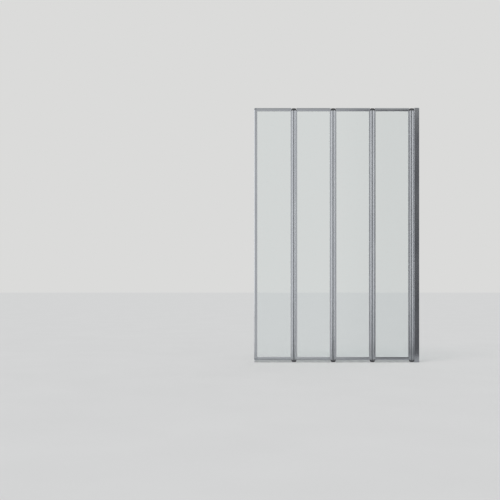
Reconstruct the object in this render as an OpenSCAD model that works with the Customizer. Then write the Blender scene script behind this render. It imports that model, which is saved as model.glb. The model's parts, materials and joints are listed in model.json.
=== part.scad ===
// Folding bath screen: four framed glass panels that hang from a wall profile and fold panel on panel.
// X = 0 is the wall and the panels reach along -X. Z = 0 is the bath's rim. -Y is the room's side.
// The screen stands fully open, with every pivot axis vertical and on the plane Y = 0.

/* [Screen] */
// Height from the bath's rim to the upper faces of the top rails
screen_h = 1400; // [900:10:1600]
// Distance between the centres of neighbouring hinges
panel_pitch = 216; // [140:1:300]
// Distance from the last hinge's centre to the free edge
end_panel_w = 219; // [140:1:300]
// Distance from the wall to the first hinge's centre, set on site by sliding the post in its channel
wall_reach = 41; // [40:0.5:50]
// Height of the gap under the bottom rails, which the rim seals close
rim_gap = 12; // [8:0.5:18]

/* [Glass] */
// Thickness of the glass
glass_t = 4; // [3:0.5:5]
// Thickness of the gasket on each face of the glass
gasket_t = 1.4; // [1:0.1:1.6]
// Thickness of the gasket behind the edge of the glass
gasket_floor_t = 0.6; // [0.4:0.1:1]
// Height of the gasket's lip that shows beyond the frame
gasket_lip = 0.8; // [0.4:0.1:1.5]

/* [Frame] */
// Thickness of the stiles and rails, front to back
frame_t = 10; // [9.6:0.2:11]
// Height of the rails
rail_h = 16.5; // [15:0.5:24]
// How far the rails' faces curve back towards their long edges
rail_crown = 0.7; // [0.3:0.1:0.9]
// Reach of a stile from its pivot axis towards the glass
stile_reach = 10.2; // [9.8:0.1:14]
// Width of the stile on the free edge
free_stile_w = 16.5; // [15:0.5:22]
// Wall thickness of the webs and the outer walls of the extrusions
alu_t = 1.5; // [1.2:0.1:1.8]
// Height of the rails' chamber, which takes the corner keys
chamber_h = 5.5; // [4.5:0.1:6.5]
// Radius of the extrusions' long edges
edge_r = 0.6; // [0.2:0.1:0.8]
// Radius of the rounded side of the free stile
nosing_r = 4; // [2:0.5:4.5]

/* [Hinges] */
// Radius of the round tube along each stile's hinge side
tube_r = 6.2; // [5.9:0.1:6.8]
// Gap between the two tubes of a hinge
tube_gap = 2; // [1.6:0.1:4]
// Height of the end links that join two stiles
link_h = 13.2; // [12:0.2:16]
// Distance from the end links to the bath's rim below and to the top of the screen above
link_inset = 2; // [1:0.5:4]
// Thickness of an end link under its two sockets
link_floor = 5.4; // [4.8:0.1:6.5]
// Radius of an end link's outer corners, seen from the front
link_corner_r = 7; // [4:0.5:9]
// Radius of the arch cut in an end link's front and back, which shows the bushes
arch_r = 10; // [8:0.5:12]
// Diameter of the pivot screws' smooth shank
pivot_d = 4; // [3:0.1:4.6]
// Length of the pivot screws under the head
pivot_len = 28; // [22:1:32]
// Radius of the pivot screws' head
pivot_head_r = 3.2; // [2.8:0.1:3.4]
// Height of the pivot screws' head
pivot_head_h = 1.6; // [1.2:0.1:1.8]
// Radius of the bushes' sleeve inside the tube
bush_r = 3.8; // [3.4:0.1:4.2]
// Length of the bushes' sleeve inside the tube
bush_len = 24; // [18:1:40]
// Radius of the bushes' boss outside the tube
boss_r = 4.8; // [4.4:0.1:4.9]
// Half of the depth of the seal strip between the tubes, front to back
joint_seal_y = 5.6; // [4.8:0.1:5.8]

/* [Wall profile] */
// Depth of the wall profile, out from the wall
channel_d = 27; // [25:0.5:28]
// Width of the wall profile, front to back
channel_w = 18; // [17:0.5:22]
// Wall thickness of the wall profile
channel_t = 1.6; // [1.2:0.1:2]
// Depth of the post's hollow body, which slides in the wall profile
post_body_d = 22; // [21:0.5:23]
// Diameter of the holes for the wall screws
wall_hole_d = 5; // [4:0.5:6]
// Height of the lowest and highest wall screw above and below the profile's ends
wall_hole_inset = 100; // [60:5:200]
// Height of the lowest and highest fixing screw above and below the profile's ends
fixing_inset = 60; // [30:5:90]
// Distance of the fixing screws from the wall
fixing_x = 19; // [18.5:0.5:21]

/* [Caps, keys and screws] */
// Thickness of the cap on top of the wall profile
cap_t = 1.5; // [1:0.1:1.8]
// Height of the end caps on the free stile
end_cap_h = 10; // [9:0.5:14]
// Radius of the end caps' outer corner, seen from the front
end_cap_r = 8; // [4:0.5:8.5]
// Length of the end caps' plug inside the stile
end_plug = 12; // [6:1:20]
// Length of the corner keys' tongue inside the rail
key_len = 25; // [18:1:40]
// Radius of the corner screws' shank
corner_screw_r = 1; // [0.8:0.1:1.1]
// Radius of the corner screws' countersunk head
corner_head_r = 1.5; // [1.3:0.1:1.6]
// Length of the corner screws
corner_screw_len = 6; // [5:0.5:7]
// Radius of the fixing screws' shank
fixing_r = 1.75; // [1.5:0.05:2]
// Radius of the fixing screws' pan head
fixing_head_r = 3.5; // [3:0.1:3.8]
// Height of the fixing screws' pan head
fixing_head_h = 2.2; // [1.6:0.1:2.6]
// Length of the fixing screws
fixing_len = 11; // [8:0.5:14]
// Wall thickness of the snap caps over the fixing screws
snap_cap_t = 1; // [0.8:0.1:1.4]

/* [Rim seals] */
// Width of the rim seals
seal_w = 9; // [8:0.5:9.5]
// Thickness of the rim seals' top band and fins
seal_t = 1; // [0.8:0.1:1.4]
// Height of the seals' head in the rail's groove
seal_head_h = 2; // [1.5:0.1:3]
// Width of the groove under the bottom rails
seal_groove = 3; // [2.4:0.1:3.6]

/* [Hidden] */
$fn = 64;
fold_count = 4;
// Clearance between pieces that move past each other
run_gap = 0.3;
// Radial running clearance of a pivot screw in its end link
pivot_fit = 0.05;
// Clearance between the post and its channel
slide_gap = 0.3;
// Radial clearance of a screw in a drilled hole
drill_gap = 0.2;
// Gap between the side of an end link and the stiles that turn past it
nose_gap = 0.5;
// Height of the corner screws' countersunk head
corner_head_h = 1.1;
// The rails' corner screws lie this far under the lowest point of the crowned face around them
screw_sink = 0.1;
// Thickness of an end link between a pivot screw's head and the socket
head_floor = 2.4;
// The post's body and its tube run into each other by this much
post_root = 0.4;
// A cut passes through a face by this much
over = 1;

hinge_spacing = 2 * tube_r + tube_gap;
pivot_r = pivot_d / 2;
slot_w = glass_t + 2 * gasket_t;
// The slot for the glass starts here, measured from the pivot axis. Level with the end links, which
// turn past it, a stile starts here too.
slot_floor = tube_r + nose_gap;
// The tubes end this far above the bath's rim, and as far below the top
nose_end = link_inset + link_h + run_gap;
boss_start = link_floor + run_gap;
pivot_seat = link_floor - head_floor;
rail_floor = 2 * alu_t + chamber_h;
// Radius of the rails' crowned faces, which start and end at the rounded edges
crown_half = rail_h / 2 - edge_r;
crown_r = (pow(crown_half, 2) + pow(rail_crown, 2)) / (2 * rail_crown);
key_v = alu_t + chamber_h / 2;
key_screw_x = (slot_floor + stile_reach) / 2;
rail_screw_x = stile_reach + key_len / 2;
rail_seat_y = frame_t / 2 - crown_drop(key_v - corner_head_r) - screw_sink;
post_t = channel_w - 2 * (channel_t + slide_gap);
post_body_x = tube_r - post_root;
post_hollow_x = slot_floor + alu_t;
post_top = screen_h - cap_t;
seal_start = slot_floor + run_gap;
head_start = stile_reach + key_len + run_gap;

// Hinge k's centre, and the pivot axes of panel k's two stiles. The last free stile has no pivot,
// so its axis is only the line that its section is drawn from.
function hinge_x(k) = -(wall_reach + (k - 1) * panel_pitch);
function wall_pivot(k) = hinge_x(k) - hinge_spacing / 2;
function free_pivot(k) = k < fold_count
    ? hinge_x(k + 1) + hinge_spacing / 2
    : hinge_x(k) - end_panel_w + free_stile_w - stile_reach;
function panel_span(k) = wall_pivot(k) - free_pivot(k);
function has_hinge(k) = k < fold_count;
// How far a rail's crowned face lies behind its middle, at height v above the rail's outer face
function crown_drop(v) = crown_r - sqrt(pow(crown_r, 2) - pow(v - rail_h / 2, 2));
// count heights from inset above the foot to inset below the top, evenly spaced
function spread(inset, count) =
    [for (i = [0:count - 1]) inset + i * (screen_h - 2 * inset) / (count - 1)];

// Placing: a stile is drawn with its pivot axis at the origin and the glass along +X.
module at_wall_stile(k) translate([wall_pivot(k), 0, 0]) mirror([1, 0, 0]) children();
module at_free_stile(k) translate([free_pivot(k), 0, 0]) children();
module at_both_stiles(k) {
    at_wall_stile(k) children();
    at_free_stile(k) children();
}
// The outer face of the frame or link is drawn at Z = 0, and its middle lies along +Z.
module at_frame_ends() {
    translate([0, 0, rim_gap]) children();
    translate([0, 0, screen_h]) mirror([0, 0, 1]) children();
}
module at_link_ends() {
    translate([0, 0, link_inset]) children();
    translate([0, 0, screen_h - link_inset]) mirror([0, 0, 1]) children();
}
// A screw is drawn along Z with its seat at Z = 0 and its tip below, then turned to enter from the back
module from_back(y) translate([0, y, 0]) rotate([-90, 0, 0]) children();
// An outline in Y and Z, drawn out along +X
module along_x(length) rotate([90, 0, 90]) linear_extrude(length) children();
// An outline in X and Z, drawn out to both sides of Y = 0
module across_y(width) translate([0, width / 2, 0]) rotate([90, 0, 0]) linear_extrude(width) children();

// A rectangle with round corners
module soft_rect(x0, x1, y0, y1, r) {
    translate([x0 + r, y0]) square([x1 - x0 - 2 * r, y1 - y0]);
    translate([x0, y0 + r]) square([x1 - x0, y1 - y0 - 2 * r]);
    for (x = [x0 + r, x1 - r], y = [y0 + r, y1 - r]) translate([x, y]) circle(r = r);
}
// A square hole, centred on Y = 0
module hole_rect(x0, x1, width) translate([x0, -width / 2]) square([x1 - x0, width]);
// The cross in a screw's head, cut down from Z = top
module cross_recess(top, reach, depth) {
    for (turn = [0, 90]) rotate([0, 0, turn]) translate([-reach, -reach / 5, top - depth])
        cube([2 * reach, 2 * reach / 5, depth + over]);
}

// ---- Wall profile and post ----

module channel_outline() soft_rect(-channel_d, 0, -channel_w / 2, channel_w / 2, edge_r);

module wall_profile() color("#9aa0a6") difference() {
    linear_extrude(post_top) difference() {
        channel_outline();
        hole_rect(-channel_d - over, -channel_t, channel_w - 2 * channel_t);
    }
    for (z = spread(wall_hole_inset, 4)) translate([-channel_t - over, 0, z]) rotate([0, 90, 0])
        cylinder(d = wall_hole_d, h = channel_t + 2 * over);
    for (z = spread(fixing_inset, 3)) translate([-fixing_x, 0, z])
        from_back(channel_w / 2 - channel_t - over) cylinder(r = fixing_r + drill_gap, h = channel_t + 2 * over);
}

module wall_profile_cap() color("#6f747a") {
    translate([0, 0, post_top]) linear_extrude(cap_t) channel_outline();
    // A leg behind the post grips the profile's inside
    leg_t = 2;
    leg_l = 8;
    translate([-channel_t - leg_t, -post_t / 2, post_top - leg_l]) cube([leg_t, post_t, leg_l]);
}

module post_section() difference() {
    union() {
        circle(r = tube_r);
        hole_rect(0, post_body_x + edge_r, frame_t);
        soft_rect(post_body_x, post_body_x + post_body_d, -post_t / 2, post_t / 2, edge_r);
    }
    circle(r = bush_r);
    hole_rect(post_hollow_x, post_body_x + post_body_d - alu_t, post_t - 2 * alu_t);
}

module at_post() translate([hinge_x(1) + hinge_spacing / 2, 0, 0]) children();

// What the end links need at the ends of a tube: a stile turns 90 degrees past the link's straight side,
// so the whole of its end is cut back to a straight edge
module nose_cuts() at_link_ends() translate([-channel_w, -channel_w, -link_inset - over])
    cube([channel_w + slot_floor, 2 * channel_w, nose_end + over]);

module hinge_post() color("#a9afb5") difference() {
    at_post() difference() {
        translate([0, 0, link_inset]) linear_extrude(post_top - link_inset) post_section();
        nose_cuts();
    }
    for (z = spread(fixing_inset, 3)) translate([-fixing_x, 0, z]) from_back(post_t / 2 - alu_t - over)
        cylinder(r = fixing_r, h = alu_t + 2 * over);
}

module post_bushes() color("#b9bcbf") at_post() at_link_ends() pivot_bush();
module post_pivot_screws() color("#8c9196") at_post() at_link_ends() pivot_screw();

module fixing_screw() difference() {
    union() {
        translate([0, 0, -fixing_len]) cylinder(r = fixing_r, h = fixing_len);
        cylinder(r = fixing_head_r, h = fixing_head_h - edge_r);
        translate([0, 0, fixing_head_h - edge_r])
            cylinder(r1 = fixing_head_r, r2 = fixing_head_r - edge_r, h = edge_r);
    }
    cross_recess(fixing_head_h, fixing_head_r / 2, fixing_head_h / 2);
}

module fixing_screws() color("#8c9196")
    for (z = spread(fixing_inset, 3)) translate([-fixing_x, 0, z]) from_back(channel_w / 2) fixing_screw();

// A snap cap is a dome with a round hollow that closes over the screw's head
module snap_cap() {
    inner_r = fixing_head_r + drill_gap;
    inner_h = fixing_head_h + drill_gap;
    outer_r = inner_r + snap_cap_t;
    outer_h = inner_h + snap_cap_t;
    dome_r = outer_h / 2;
    rotate_extrude() difference() {
        union() {
            square([outer_r, outer_h - dome_r]);
            square([outer_r - dome_r, outer_h]);
            translate([outer_r - dome_r, outer_h - dome_r]) circle(r = dome_r);
        }
        translate([-over, -over]) square([inner_r + over, inner_h + over]);
    }
}

module screw_caps() color("#7c8187")
    for (z = spread(fixing_inset, 3)) translate([-fixing_x, 0, z]) from_back(channel_w / 2) snap_cap();

// ---- Hinges: two end links, the seal strip between the tubes, bushes and pivot screws ----

// The strip follows both tubes and stays clear of the frames when both panels are folded to one side
module joint_seal_section() {
    half_w = hinge_spacing / 2 - frame_t / 2 - run_gap;
    difference() {
        translate([-half_w, -joint_seal_y]) square([2 * half_w, 2 * joint_seal_y]);
        for (side = [-1, 1]) translate([side * hinge_spacing / 2, 0]) circle(r = tube_r + run_gap);
    }
}

module joint_seal(k) color("#8e9296") translate([hinge_x(k), 0, link_inset + link_floor])
    linear_extrude(screen_h - 2 * (link_inset + link_floor)) joint_seal_section();

// The front view of an end link: square at the sockets and round at its outer corners
module link_front() {
    half_l = hinge_spacing / 2 + tube_r;
    corner_x = half_l - link_corner_r;
    translate([-half_l, link_corner_r]) square([2 * half_l, link_h - link_corner_r]);
    translate([-corner_x, 0]) square([2 * corner_x, link_h]);
    for (side = [-1, 1]) translate([side * corner_x, link_corner_r]) circle(r = link_corner_r);
}

module end_link() difference() {
    intersection() {
        union() {
            for (side = [-1, 1]) translate([side * hinge_spacing / 2, 0, 0])
                cylinder(r = tube_r, h = link_h);
            translate([-hinge_spacing / 2, -tube_r, 0]) cube([hinge_spacing, 2 * tube_r, link_h]);
        }
        across_y(2 * tube_r + 2 * over) link_front();
    }
    for (side = [-1, 1]) translate([side * hinge_spacing / 2, 0, 0]) {
        translate([0, 0, link_floor]) cylinder(r = boss_r + run_gap, h = link_h);
        translate([0, 0, -over]) cylinder(r = pivot_r + pivot_fit, h = link_h);
        translate([0, 0, -over]) cylinder(r = pivot_head_r + drill_gap, h = pivot_seat + over);
    }
    translate([0, 0, link_floor]) linear_extrude(link_h) joint_seal_section();
    // The arch leaves the front and back open, in front of the bushes' bosses
    arch_y = boss_r - 2 * run_gap;
    for (back = [0, 1]) mirror([0, back, 0]) translate([0, -arch_y, boss_start + arch_r])
        rotate([90, 0, 0]) cylinder(r = arch_r, h = tube_r);
}

module hinge_links(k) color("#2b2c2f") translate([hinge_x(k), 0, 0]) at_link_ends() end_link();

module pivot_bush() difference() {
    union() {
        translate([0, 0, boss_start]) cylinder(r = boss_r, h = nose_end - link_inset - boss_start);
        translate([0, 0, nose_end - link_inset]) cylinder(r = bush_r, h = bush_len);
    }
    cylinder(r = pivot_r, h = nose_end + bush_len + over);
}

module pivot_screw() difference() {
    seat = pivot_seat - pivot_fit;
    union() {
        translate([0, 0, seat]) cylinder(r = pivot_r, h = pivot_len - edge_r);
        translate([0, 0, seat + pivot_len - edge_r])
            cylinder(r1 = pivot_r, r2 = pivot_r - edge_r, h = edge_r);
        translate([0, 0, seat - pivot_head_h]) cylinder(r = pivot_head_r, h = pivot_head_h);
    }
    // A hexagon socket
    translate([0, 0, seat - pivot_head_h - over])
        cylinder(r = pivot_head_r / 2, h = 0.6 * pivot_head_h + over, $fn = 6);
}

module pivot_bushes(k) color("#b9bcbf") {
    at_wall_stile(k) at_link_ends() pivot_bush();
    if (has_hinge(k)) at_free_stile(k) at_link_ends() pivot_bush();
}

module pivot_screws(k) color("#8c9196") {
    at_wall_stile(k) at_link_ends() pivot_screw();
    if (has_hinge(k)) at_free_stile(k) at_link_ends() pivot_screw();
}

// ---- Panel frame ----

module glass_slot() hole_rect(slot_floor, stile_reach + over, slot_w);

module stile_section() difference() {
    union() {
        circle(r = tube_r);
        soft_rect(-over, stile_reach, -frame_t / 2, frame_t / 2, edge_r);
    }
    circle(r = bush_r);
    glass_slot();
}

// The free stile has a rounded side in place of the tube, over a hollow chamber
module free_outline() {
    outer_x = stile_reach - free_stile_w;
    soft_rect(outer_x, outer_x + 3 * nosing_r, -frame_t / 2, frame_t / 2, nosing_r);
    soft_rect(outer_x + nosing_r, stile_reach, -frame_t / 2, frame_t / 2, edge_r);
}
module free_chamber() hole_rect(stile_reach - free_stile_w + alu_t, slot_floor - alu_t, frame_t - 2 * alu_t);

module free_section() difference() {
    free_outline();
    free_chamber();
    glass_slot();
}

// The part of the free stile that an end cap takes the place of
module end_cap_zone(grow) translate([stile_reach - free_stile_w - grow, -frame_t / 2 - grow, -grow])
    cube([free_stile_w - stile_reach + slot_floor + grow, frame_t + 2 * grow, end_cap_h + grow]);

module corner_screw() difference() {
    union() {
        translate([0, 0, -corner_screw_len]) cylinder(r = corner_screw_r, h = corner_screw_len);
        translate([0, 0, -corner_head_h])
            cylinder(r1 = corner_screw_r, r2 = corner_head_r, h = corner_head_h);
    }
    cross_recess(0, 0.6 * corner_head_r, 0.6 * corner_head_h);
}

// The corner screws' two places, in the stile's flat face and in the rail's crowned one
module at_corner_screws() {
    translate([key_screw_x, 0, key_v]) from_back(frame_t / 2) children();
    translate([rail_screw_x, 0, key_v]) from_back(rail_seat_y) children();
}

module corner_hole() {
    cylinder(r = corner_head_r, h = over);
    translate([0, 0, -corner_head_h]) cylinder(r1 = corner_screw_r, r2 = corner_head_r, h = corner_head_h);
    translate([0, 0, -corner_screw_len]) cylinder(r = corner_screw_r, h = corner_screw_len + over);
}
module corner_holes() at_frame_ends() at_corner_screws() corner_hole();

module stile_extrusion() translate([0, 0, rim_gap]) linear_extrude(screen_h - rim_gap) children();

module hinged_stile() difference() {
    stile_extrusion() stile_section();
    nose_cuts();
    corner_holes();
}

module plain_stile() difference() {
    stile_extrusion() free_section();
    at_frame_ends() end_cap_zone(over);
    corner_holes();
}

module wall_stile(k) color("#a9afb5") at_wall_stile(k) hinged_stile();
module free_stile(k) color("#a9afb5") at_free_stile(k) {
    if (has_hinge(k)) hinged_stile();
    else plain_stile();
}

// A rail's faces are shallow arcs that run into its rounded edges
module rail_outline() {
    edge_y = frame_t / 2 - rail_crown;
    soft_rect(-edge_y, edge_y, 0, rail_h, edge_r);
    for (side = [-1, 1]) intersection() {
        translate([side * (frame_t / 2 - crown_r), rail_h / 2]) circle(r = crown_r, $fn = 4 * $fn);
        translate([side > 0 ? 0 : -frame_t, edge_r]) square([frame_t, 2 * crown_half]);
    }
}

module rail_section() difference() {
    rail_outline();
    translate([-slot_w / 2, alu_t]) square([slot_w, chamber_h]);
    translate([-slot_w / 2, rail_floor]) square([slot_w, rail_h - rail_floor + over]);
}

// A rail runs from stile to stile. Its outer face is at Z = 0 and the glass lies along +Z.
module rail(k) translate([free_pivot(k) + stile_reach, 0, 0])
    along_x(panel_span(k) - 2 * stile_reach) rail_section();

module top_rail(k) color("#a9afb5") difference() {
    translate([0, 0, screen_h]) mirror([0, 0, 1]) rail(k);
    at_both_stiles(k) corner_holes();
}

module bottom_rail(k) color("#a9afb5") difference() {
    translate([0, 0, rim_gap]) rail(k);
    translate([free_pivot(k), -seal_groove / 2, rim_gap - over])
        cube([panel_span(k), seal_groove, alu_t + 1.5 * over]);
    at_both_stiles(k) corner_holes();
}

// A box between the stiles of panel k, with its sides inset from the pivot axes and its ends from the
// frame's top and bottom
module panel_box(k, side_inset, end_inset, thickness)
    translate([free_pivot(k) + side_inset, -thickness / 2, rim_gap + end_inset])
        cube([panel_span(k) - 2 * side_inset, thickness, screen_h - rim_gap - 2 * end_inset]);

module glass_sheet(k) panel_box(k, slot_floor + gasket_floor_t, rail_floor + gasket_floor_t, glass_t);

module glass(k) color("#cfe3df", 0.4) glass_sheet(k);

module glazing_gasket(k) color("#b8bcbe") difference() {
    panel_box(k, slot_floor, rail_floor, slot_w);
    glass_sheet(k);
    panel_box(k, stile_reach + gasket_lip, rail_h + gasket_lip, slot_w + over);
}

// A corner key closes the end of the stile's slot and reaches into the rail's chamber
module corner_key() difference() {
    union() {
        translate([slot_floor, -slot_w / 2, 0]) cube([stile_reach - slot_floor, slot_w, rail_floor]);
        translate([stile_reach, -slot_w / 2, alu_t]) cube([key_len, slot_w, chamber_h]);
    }
    at_corner_screws() corner_hole();
}

module corner_keys(k) color("#3a3c40") at_both_stiles(k) at_frame_ends() corner_key();
module corner_screws(k) color("#8c9196") at_both_stiles(k) at_frame_ends() at_corner_screws() corner_screw();

// The seal's outline: a head held in the rail's groove, and a band that lies under the rail with two
// outer fins down to the bath's rim and a shorter drip fin between them
module seal_head_outline() {
    head_w = slot_w - 2 * drill_gap;
    translate([-head_w / 2, rim_gap + alu_t]) square([head_w, seal_head_h]);
    translate([-seal_groove / 2, rim_gap - seal_t / 2]) square([seal_groove, alu_t + seal_t]);
}

module seal_band_outline() {
    fin_r = seal_t / 2;
    drip_z = rim_gap / 3;
    translate([-seal_w / 2, rim_gap - seal_t]) square([seal_w, seal_t]);
    for (side = [-1, 1]) {
        fin_x = side * (seal_w / 2 - fin_r);
        tip_x = side * (seal_w / 2 - 2 * fin_r);
        polygon([
            [fin_x - fin_r, rim_gap - fin_r], [fin_x + fin_r, rim_gap - fin_r],
            [tip_x + fin_r, fin_r], [tip_x - fin_r, fin_r]
        ]);
        translate([tip_x, fin_r]) circle(r = fin_r);
    }
    translate([-fin_r, drip_z]) square([seal_t, rim_gap - drip_z - fin_r]);
    translate([0, drip_z]) circle(r = fin_r);
}

module rim_seal(k) color("#d5d8d8") {
    // Past the last stile's end cap, the band stops just short of the free edge
    band_x0 = has_hinge(k) ? free_pivot(k) + seal_start : hinge_x(k) - end_panel_w + seal_t;
    band_x1 = wall_pivot(k) - seal_start;
    translate([band_x0, 0, 0]) along_x(band_x1 - band_x0) seal_band_outline();
    translate([free_pivot(k) + head_start, 0, 0])
        along_x(panel_span(k) - 2 * head_start) seal_head_outline();
}

// An end cap carries on the free stile's outline, rounds its corner and plugs its chamber
module end_cap() {
    outer_x = stile_reach - free_stile_w;
    corner_x = outer_x + end_cap_r;
    intersection() {
        linear_extrude(end_cap_h) free_outline();
        end_cap_zone(0);
        across_y(frame_t + 2 * over) union() {
            translate([outer_x, end_cap_r]) square([free_stile_w, end_cap_h]);
            translate([corner_x, 0]) square([free_stile_w, end_cap_h]);
            translate([corner_x, end_cap_r]) circle(r = end_cap_r);
        }
    }
    translate([0, 0, end_cap_h - over]) linear_extrude(end_plug + over) free_chamber();
}

module end_caps() color("#8b9096") at_free_stile(fold_count) at_frame_ends() end_cap();

// ---- Every node, one at a time or all together ----

wall_profile();
wall_profile_cap();
hinge_post();
post_bushes();
post_pivot_screws();
fixing_screws();
screw_caps();
for (k = [1:fold_count]) {
    hinge_links(k);
    joint_seal(k);
    wall_stile(k);
    free_stile(k);
    top_rail(k);
    bottom_rail(k);
    glass(k);
    glazing_gasket(k);
    rim_seal(k);
    corner_keys(k);
    corner_screws(k);
    pivot_bushes(k);
    pivot_screws(k);
}
end_caps();
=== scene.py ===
"""Folding bath screen: what its pieces look like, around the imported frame.

X = 0 is the back of the wall profile and the panels reach along -X, Z = 0 is the foot of the rim seals, and
the photograph's camera looks along +Y. Sizes are in metres, and small ones are given in millimetres times MM.
"""

import json
import math

import bmesh
import bpy
from mathutils import Matrix, Vector


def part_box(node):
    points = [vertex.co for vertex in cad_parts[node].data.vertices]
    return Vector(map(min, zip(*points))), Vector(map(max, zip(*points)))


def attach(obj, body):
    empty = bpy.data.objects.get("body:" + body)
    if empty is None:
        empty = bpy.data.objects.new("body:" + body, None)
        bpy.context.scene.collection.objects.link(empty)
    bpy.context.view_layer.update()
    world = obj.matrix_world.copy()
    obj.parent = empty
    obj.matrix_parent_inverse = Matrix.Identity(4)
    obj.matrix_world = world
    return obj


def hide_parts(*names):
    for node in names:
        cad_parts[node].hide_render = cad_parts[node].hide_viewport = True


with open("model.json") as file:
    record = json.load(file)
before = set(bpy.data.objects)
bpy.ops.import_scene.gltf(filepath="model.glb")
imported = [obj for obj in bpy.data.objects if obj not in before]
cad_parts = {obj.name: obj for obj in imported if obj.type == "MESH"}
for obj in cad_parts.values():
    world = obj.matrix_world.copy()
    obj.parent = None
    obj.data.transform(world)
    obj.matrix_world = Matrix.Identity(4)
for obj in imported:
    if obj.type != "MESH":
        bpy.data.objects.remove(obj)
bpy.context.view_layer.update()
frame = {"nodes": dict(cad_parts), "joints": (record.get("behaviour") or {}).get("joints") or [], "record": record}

MM = 0.001
PANELS = (1, 2, 3, 4)
LAST = PANELS[-1]

# The photograph's camera: level, to the left of the screen's middle, its view shifted to the same frame
CAMERA_PLACE = (-1.074, -4.371, 0.4255)
CAMERA_LENS, CAMERA_SENSOR = 57.1, 36.0
CAMERA_SHIFT = (0.052, 0.070)

# Sizes that part.scad gives too
TUBE_R = 6.2 * MM
TUBE_BORE_R = 3.8 * MM
FRAME_T = 10 * MM
SLOT_W = 6.8 * MM
SLOT_FLOOR = 6.7 * MM
STILE_REACH = 10.2 * MM
FREE_STILE_W = 16.5 * MM
RAIL_H = 16.5 * MM
RAIL_CROWN = 0.7 * MM
RAIL_FLOOR = 8.5 * MM
ALU_T = 1.5 * MM
CHAMBER_H = 5.5 * MM
SEAL_GROOVE = 3 * MM
NOSE_END = 15.5 * MM
GLASS_T = 4 * MM
GASKET_FLOOR = 0.6 * MM
GASKET_LIP = 0.8 * MM
HINGE_SPACING = 14.4 * MM
KEY_V = 4.25 * MM
KEY_SCREW_X = 8.45 * MM
RAIL_SCREW_X = 22.7 * MM
RAIL_SEAT_Y = 4.54 * MM
CORNER_SCREW_R = 1 * MM
CORNER_HEAD_R = 1.5 * MM
CORNER_HEAD_H = 1.1 * MM
CORNER_SCREW_L = 6 * MM
CHANNEL_D, CHANNEL_W, CHANNEL_T = 27 * MM, 18 * MM, 1.6 * MM
POST_T = 14.2 * MM
POST_BODY = (5.8 * MM, 27.8 * MM)
POST_HOLLOW_X = 8.2 * MM
FIXING_SCREWS, FIXING_X, FIXING_INSET = 3, 19 * MM, 60 * MM
FIXING_HOLE_R, FIXING_SCREW_R, FIXING_SCREW_L = 1.95 * MM, 1.75 * MM, 11 * MM
FIXING_HEAD_R, FIXING_HEAD_H = 3.5 * MM, 2.2 * MM
WALL_HOLES, WALL_HOLE_R, WALL_HOLE_INSET = 4, 2.5 * MM, 100 * MM
PIVOT_SCREW_R, PIVOT_SCREW_L, PIVOT_HEAD_R, PIVOT_HEAD_H = 2 * MM, 28 * MM, 3.2 * MM, 1.6 * MM
LINK_INSET, PIVOT_SEAT = 2 * MM, 2.95 * MM
END_CAP_H = 10 * MM
KEY_L = 25 * MM
RUN_GAP = 0.3 * MM
OVER = 1 * MM

# How far the edges of the pieces are broken
CHANNEL_EDGE, FRAME_EDGE, PANE_EDGE = 0.15 * MM, 0.12 * MM, 0.5 * MM
CAP_EDGE, SNAP_CAP_EDGE, LINK_EDGE, BUSH_EDGE, KEY_EDGE = 0.3 * MM, 0.15 * MM, 0.35 * MM, 0.3 * MM, 0.2 * MM

# What counts as flat, as an edge to break and as an edge that stays sharp, and how near points are welded
FLAT_ANGLE, EDGE_ANGLE, SHARP_ANGLE = math.radians(0.5), math.radians(35), math.radians(38)
WELD = 1e-6

# ---- The panels' places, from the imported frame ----

PIVOT_X = {joint["name"]: joint["pos_m"][0] for joint in frame["joints"]}
SCREEN_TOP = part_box("wall_stile_1")[1].z
RIM_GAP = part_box("wall_stile_1")[0].z
POST_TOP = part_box("hinge_post")[1].z
POST_PIVOT = PIVOT_X["post_pivot"]


def wall_pivot(k):
    return PIVOT_X[f"panel_{k}_wall_pivot"]


def free_pivot(k):
    if k < LAST:
        return PIVOT_X[f"panel_{k}_free_pivot"]
    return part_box(f"free_stile_{k}")[0].x + FREE_STILE_W - STILE_REACH


def hinge_x(k):
    before = POST_PIVOT if k == 1 else free_pivot(k - 1)
    return (before + wall_pivot(k)) / 2


def spread(inset, count):
    """Heights from inset above the foot to inset below the screen's top, evenly spaced."""
    return [inset + i * (SCREEN_TOP - 2 * inset) / (count - 1) for i in range(count)]


# ---- Materials ----

# Most values of a noise lie between these two, and the two tones of a finish stand at its TONE_PLACES
NOISE_LOW, NOISE_HIGH, NOISE_DETAIL = 0.35, 0.65, 3.0
TONE_PLACES = (0.3, 0.7)
EVEN = (1, 1, 1)  # the scale of a pattern that isn't drawn out


def add(tree, kind, inputs=None, **settings):
    """Adds one node: its settings, and a value or a link for each of its sockets, by name or by number."""
    node = tree.nodes.new(kind)
    for name, value in settings.items():
        setattr(node, name, value)
    for name, value in (inputs or {}).items():
        if isinstance(value, bpy.types.NodeSocket):
            tree.links.new(value, node.inputs[name])
        else:
            node.inputs[name].default_value = value
    return node


def colour(code):
    """An sRGB hex colour as the linear one that nodes take."""
    srgb = [int(code[i:i + 2], 16) / 255 for i in (1, 3, 5)]
    return [c / 12.92 if c <= 0.04045 else ((c + 0.055) / 1.055) ** 2.4 for c in srgb] + [1.0]


def start_material(name):
    """An empty material, its tree and its Object coordinates."""
    material = bpy.data.materials.new(name)
    material.use_nodes = True
    tree = material.node_tree
    tree.nodes.clear()
    return material, tree, add(tree, "ShaderNodeTexCoord").outputs["Object"]


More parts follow.
